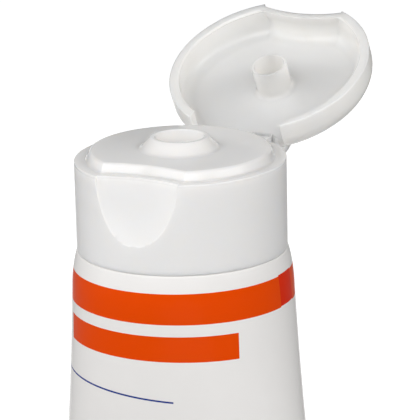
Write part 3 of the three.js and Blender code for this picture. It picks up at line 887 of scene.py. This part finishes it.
def printed(name):
    """White plastic with the bands and the rule, redder where the upper band overlaps itself."""
    finish, tree = new_finish(name)
    where = add(tree, "ShaderNodeTexCoord").outputs["Object"]
    place = add(tree, "ShaderNodeSeparateXYZ", {}, {"Vector": where})
    x, y, z = (place.outputs[axis] for axis in "XYZ")
    front = add(tree, "ShaderNodeMath", {"operation": "MULTIPLY"}, {0: y, 1: -1.0}).outputs[0]
    turn = add(tree, "ShaderNodeMath", {"operation": "ARCTAN2"}, {0: x, 1: front}).outputs[0]

    def within(value, low, high):
        """1 where the value lies between the two limits, and 0 elsewhere."""
        middle, half = (low + high) / 2, (high - low) / 2
        settings = {0: value, 1: middle, 2: half}
        return add(tree, "ShaderNodeMath", {"operation": "COMPARE"}, settings).outputs[0]

    def times(a, b):
        """1 where both are 1."""
        return add(tree, "ShaderNodeMath", {"operation": "MULTIPLY"}, {0: a, 1: b}).outputs[0]

    overlap = within(turn, OVERLAP_START, OVERLAP_END)
    shifted = add(
        tree, "ShaderNodeMath", {"operation": "MULTIPLY_ADD"},
        {0: overlap, 1: -OVERLAP_SHIFT * MM, 2: z},
    ).outputs[0]
    round_band = within(shifted, BAND_ROUND[0] * MM, BAND_ROUND[1] * MM)
    front_height = within(z, BAND_FRONT[0] * MM, BAND_FRONT[1] * MM)
    front_band = times(front_height, within(turn, -BAND_FRONT_END, BAND_FRONT_END))
    ink = add(
        tree, "ShaderNodeMath", {"operation": "MAXIMUM"}, {0: round_band, 1: front_band}
    ).outputs[0]
    level = add(
        tree, "ShaderNodeMath", {"operation": "MULTIPLY_ADD"}, {0: turn, 1: RULE_FALL * MM, 2: z}
    ).outputs[0]
    rule_height = within(level, (RULE_HEIGHT - RULE_HALF) * MM, (RULE_HEIGHT + RULE_HALF) * MM)
    rule = times(rule_height, within(turn, RULE_START, RULE_END))

    mottle = add(
        tree, "ShaderNodeTexNoise", {}, {"Vector": where, "Scale": 1 / (MOTTLE_MM * MM), "Detail": 3.0}
    ).outputs["Fac"]
    paper = add(
        tree, "ShaderNodeMix", {"data_type": "RGBA"},
        {"Factor": mottle, 6: srgb(WHITE_LOW), 7: srgb(WHITE_HIGH)},
    ).outputs[2]
    orange = add(
        tree, "ShaderNodeMix", {"data_type": "RGBA"},
        {"Factor": overlap, 6: srgb(ORANGE), 7: srgb(DOUBLE_ORANGE)},
    ).outputs[2]
    banded = add(
        tree, "ShaderNodeMix", {"data_type": "RGBA"}, {"Factor": ink, 6: paper, 7: orange}
    ).outputs[2]
    colour = add(
        tree, "ShaderNodeMix", {"data_type": "RGBA"}, {"Factor": rule, 6: banded, 7: srgb(NAVY)}
    ).outputs[2]
    slow = add(
        tree, "ShaderNodeTexNoise", {}, {"Vector": where, "Scale": 1 / (WAVE_MM * MM), "Detail": 1.0}
    ).outputs["Fac"]
    relief = add(
        tree, "ShaderNodeBump", {}, {"Height": slow, "Distance": WAVE_DEPTH_MM * MM, "Strength": 1.0}
    )
    gloss = add(
        tree, "ShaderNodeMapRange", {}, {"Value": mottle, "To Min": 0.14, "To Max": 0.22}
    ).outputs["Result"]
    skin = add(
        tree, "ShaderNodeBsdfPrincipled", {},
        {"Base Color": colour, "Roughness": gloss, "IOR": POLYETHYLENE_IOR,
         "Specular IOR Level": 0.07, "Normal": relief.outputs["Normal"]},
    )
    add(tree, "ShaderNodeOutputMaterial", {}, {"Surface": skin.outputs["BSDF"]})
    return finish


sleeve_finish = printed("printed_sleeve")

# %% [markdown]
# ### Dressing
# The strap is one moulding with the lid and shares its finish, and so do the sleeve and its welded tail.

# %% Dress the pieces
dress(cap, cap_finish)
dress(lid, lid_finish)
dress(strap, lid_finish)
dress(shoulder, shoulder_finish)
dress(gel, gel_finish)
dress(sleeve, sleeve_finish)
dress(tail_strip, sleeve_finish)
# The CAD nodes are hidden by the pieces that stand for them, but keep a finish of the same kind.
for node_name, finish in (
    ("tube_sleeve", sleeve_finish),
    ("tube_shoulder", shoulder_finish),
    ("gel_fill", gel_finish),
    ("cap_base", cap_finish),
    ("cap_lid", lid_finish),
    ("hinge_film", lid_finish),
):
    dress(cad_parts[node_name], finish)
    print(node_name, "has", finish.name)

# %% [markdown]
# ## Camera
# The camera was fitted to the cap's and lid's circles in the photograph:
# a long lens, a little above the tube and to its right.

# %% The camera at the photograph's place
# Pixels are those of the photograph. SEAM_PX is where the middle of the cap's lower edge shows.
AZIMUTH, ELEVATION, ROLL = (math.radians(a) for a in (27.09, 16.38, -1.46))
DISTANCE_MM = 739.5
FOCAL_PX = 4105.3
FRAME_PX = 420
SENSOR_MM = 36
SEAM_PX = (182.43, 244.5)

back = Vector(
    (
        math.sin(AZIMUTH) * math.cos(ELEVATION),
        -math.cos(AZIMUTH) * math.cos(ELEVATION),
        math.sin(ELEVATION),
    )
)
right = Vector((math.cos(AZIMUTH), math.sin(AZIMUTH), 0))
up = back.cross(right)
rolled_right = math.cos(ROLL) * right + math.sin(ROLL) * up
rolled_up = -math.sin(ROLL) * right + math.cos(ROLL) * up
look = Matrix((rolled_right, rolled_up, back))
seam_ray = Vector(
    ((SEAM_PX[0] - FRAME_PX / 2) / FOCAL_PX, -(SEAM_PX[1] - FRAME_PX / 2) / FOCAL_PX, -1)
).normalized()
tilt = Vector((0, 0, -1)).rotation_difference(seam_ray).to_matrix()
world_to_camera = tilt @ look

clean_slate()
bpy.ops.object.camera_add()
camera = bpy.context.object
camera.name = "photo_camera"
camera.data.sensor_width = SENSOR_MM
camera.data.lens = FOCAL_PX / FRAME_PX * SENSOR_MM
camera.data.clip_start, camera.data.clip_end = 0.01, 20
place = Vector((0, 0, CAP_BOTTOM * MM)) + back * DISTANCE_MM * MM
camera.matrix_world = Matrix.Translation(place) @ world_to_camera.transposed().to_4x4()
bpy.context.scene.camera = camera
print("lens", round(camera.data.lens, 1), "mm at", [round(v, 3) for v in place], "m")

# %% [markdown]
# ## Floor and backdrop
# The tube stands on a runner of white paper that goes up into a narrow white backdrop behind it.
# Beside and above the paper the room is dim, and glossy things show that: their edges go darker
# than their middles, and the open lid stands out in the polished deck as a paler shape.
# Light Path lets the camera see white everywhere and mirror-like rays see the paper,
# while the light that falls on the tube stays plain.

# %% White floor
FLOOR_DROP = 0.5
FLOOR_SIZE = 8
clean_slate()
bpy.ops.mesh.primitive_plane_add(size=FLOOR_SIZE, location=(0, 0, -FLOOR_DROP * MM))
floor = bpy.context.object
floor.name = "floor"
bpy.ops.object.transform_apply(location=True, rotation=False, scale=False)


def seen_white(tree, paper):
    """1 for camera rays, and the paper's own value for mirror-like rays and rays through glass."""
    path = add(tree, "ShaderNodeLightPath")
    mirror = add(
        tree, "ShaderNodeMath", {"operation": "MAXIMUM"},
        {0: path.outputs["Is Glossy Ray"], 1: path.outputs["Is Transmission Ray"]},
    ).outputs[0]
    paper_seen = add(
        tree, "ShaderNodeMath", {"operation": "MULTIPLY"}, {0: mirror, 1: paper}
    ).outputs[0]
    return add(
        tree, "ShaderNodeMath", {"operation": "MAXIMUM"},
        {0: path.outputs["Is Camera Ray"], 1: paper_seen},
    ).outputs[0]


# %% The floor's finish
# The runner fades out between these distances from its middle, in metres. The floor is grey for the
# light that falls on the tube, and the lift makes up the rest to white where it is seen.
PAPER_EDGE = (0.075, 0.115)
FLOOR_LIFT = 0.86
FLOOR_GREY = "#b0b0b0"
floor_finish, tree = new_finish("white_floor")
spot = add(tree, "ShaderNodeTexCoord").outputs["Object"]
across = add(
    tree, "ShaderNodeVectorMath", {"operation": "DOT_PRODUCT"},
    {0: spot, 1: (math.cos(AZIMUTH), math.sin(AZIMUTH), 0)},
).outputs["Value"]
aside = add(tree, "ShaderNodeMath", {"operation": "ABSOLUTE"}, {0: across}).outputs[0]
paper = add(
    tree, "ShaderNodeMapRange", {"interpolation_type": "SMOOTHSTEP"},
    {"Value": aside, "From Min": PAPER_EDGE[0], "From Max": PAPER_EDGE[1],
     "To Min": 1.0, "To Max": 0.0},
).outputs["Result"]
lift = add(
    tree, "ShaderNodeMath", {"operation": "MULTIPLY"}, {0: seen_white(tree, paper), 1: FLOOR_LIFT}
)
glow = add(tree, "ShaderNodeEmission", {}, {"Color": srgb("#ffffff"), "Strength": lift.outputs[0]})
matt = add(tree, "ShaderNodeBsdfDiffuse", {}, {"Color": srgb(FLOOR_GREY)})
both = add(tree, "ShaderNodeAddShader", {}, {0: glow.outputs[0], 1: matt.outputs[0]})
add(tree, "ShaderNodeOutputMaterial", {}, {"Surface": both.outputs[0]})
dress(floor, floor_finish)

# %% White backdrop in a dim room
# The backdrop fades out between 8 and 13 degrees up, and between 12 and 24 degrees to each side.
BACKDROP_TOP, BACKDROP_END = (math.sin(math.radians(a)) for a in (8, 13))
BACKDROP_SIDES = (math.cos(math.radians(24)), math.cos(math.radians(12)))
# How bright the room is beside the paper.
AMBIENT = 0.12
world = bpy.data.worlds.new("studio")
bpy.context.scene.world = world
world.use_nodes = True
tree = world.node_tree
tree.nodes.clear()
direction = add(tree, "ShaderNodeTexCoord").outputs["Generated"]
height = add(tree, "ShaderNodeSeparateXYZ", {}, {"Vector": direction}).outputs["Z"]
low_enough = add(
    tree, "ShaderNodeMapRange", {"interpolation_type": "SMOOTHSTEP"},
    {"Value": height, "From Min": BACKDROP_TOP, "From Max": BACKDROP_END,
     "To Min": 1.0, "To Max": 0.0},
).outputs["Result"]
ahead = add(
    tree, "ShaderNodeVectorMath", {"operation": "DOT_PRODUCT"},
    {0: direction, 1: (-math.sin(AZIMUTH), math.cos(AZIMUTH), 0)},
).outputs["Value"]
behind_tube = add(
    tree, "ShaderNodeMapRange", {"interpolation_type": "SMOOTHSTEP"},
    {"Value": ahead, "From Min": BACKDROP_SIDES[0], "From Max": BACKDROP_SIDES[1],
     "To Min": 0.0, "To Max": 1.0},
).outputs["Result"]
backdrop = add(
    tree, "ShaderNodeMath", {"operation": "MULTIPLY"}, {0: low_enough, 1: behind_tube}
).outputs[0]
strength = add(
    tree, "ShaderNodeMix", {"data_type": "FLOAT"},
    {"Factor": seen_white(tree, backdrop), 2: AMBIENT, 3: 1.0},
)
sky = add(
    tree, "ShaderNodeBackground", {}, {"Color": srgb("#ffffff"), "Strength": strength.outputs[0]}
)
add(tree, "ShaderNodeOutputWorld", {}, {"Surface": sky.outputs[0]})


# %% [markdown]
# ## Light
# Soft boxes stand a metre from the tube. A wide one in front gives most of the light,
# one on each side keeps the round walls from going dark, and a weak one behind lights the lid's back.
# Each is placed like the camera, by its azimuth and elevation in degrees, and faces the cap.

# %% Soft boxes
CAP_MIDDLE = (0, 0, 0.105)
BOX_DISTANCE = 1.0


def soft_box(name, azimuth, elevation, width, height, power):
    """A rectangular soft light, placed round the tube like the camera and turned to face it."""
    clean_slate()
    a, e = math.radians(azimuth), math.radians(elevation)
    out = Vector((math.sin(a) * math.cos(e), -math.cos(a) * math.cos(e), math.sin(e)))
    bpy.ops.object.light_add(type="AREA", location=Vector(CAP_MIDDLE) + out * BOX_DISTANCE)
    lamp = bpy.context.object
    lamp.name = name
    lamp.data.shape = "RECTANGLE"
    lamp.data.size, lamp.data.size_y = width, height
    lamp.data.energy = power
    lamp.rotation_mode = "QUATERNION"
    lamp.rotation_quaternion = out.to_track_quat("Z", "Y")
    print(name, power, "W at", [round(v, 2) for v in lamp.location], "m")
    return lamp


soft_box("front_box", 15, 32, width=1.5, height=0.6, power=8.7)
soft_box("left_box", -56, 22, width=0.7, height=0.9, power=4.0)
soft_box("right_box", 92, 24, width=0.7, height=0.7, power=3.8)
soft_box("back_box", -150, 32, width=0.6, height=0.6, power=0.6)
bpy.context.scene.view_settings.view_transform = "Standard"
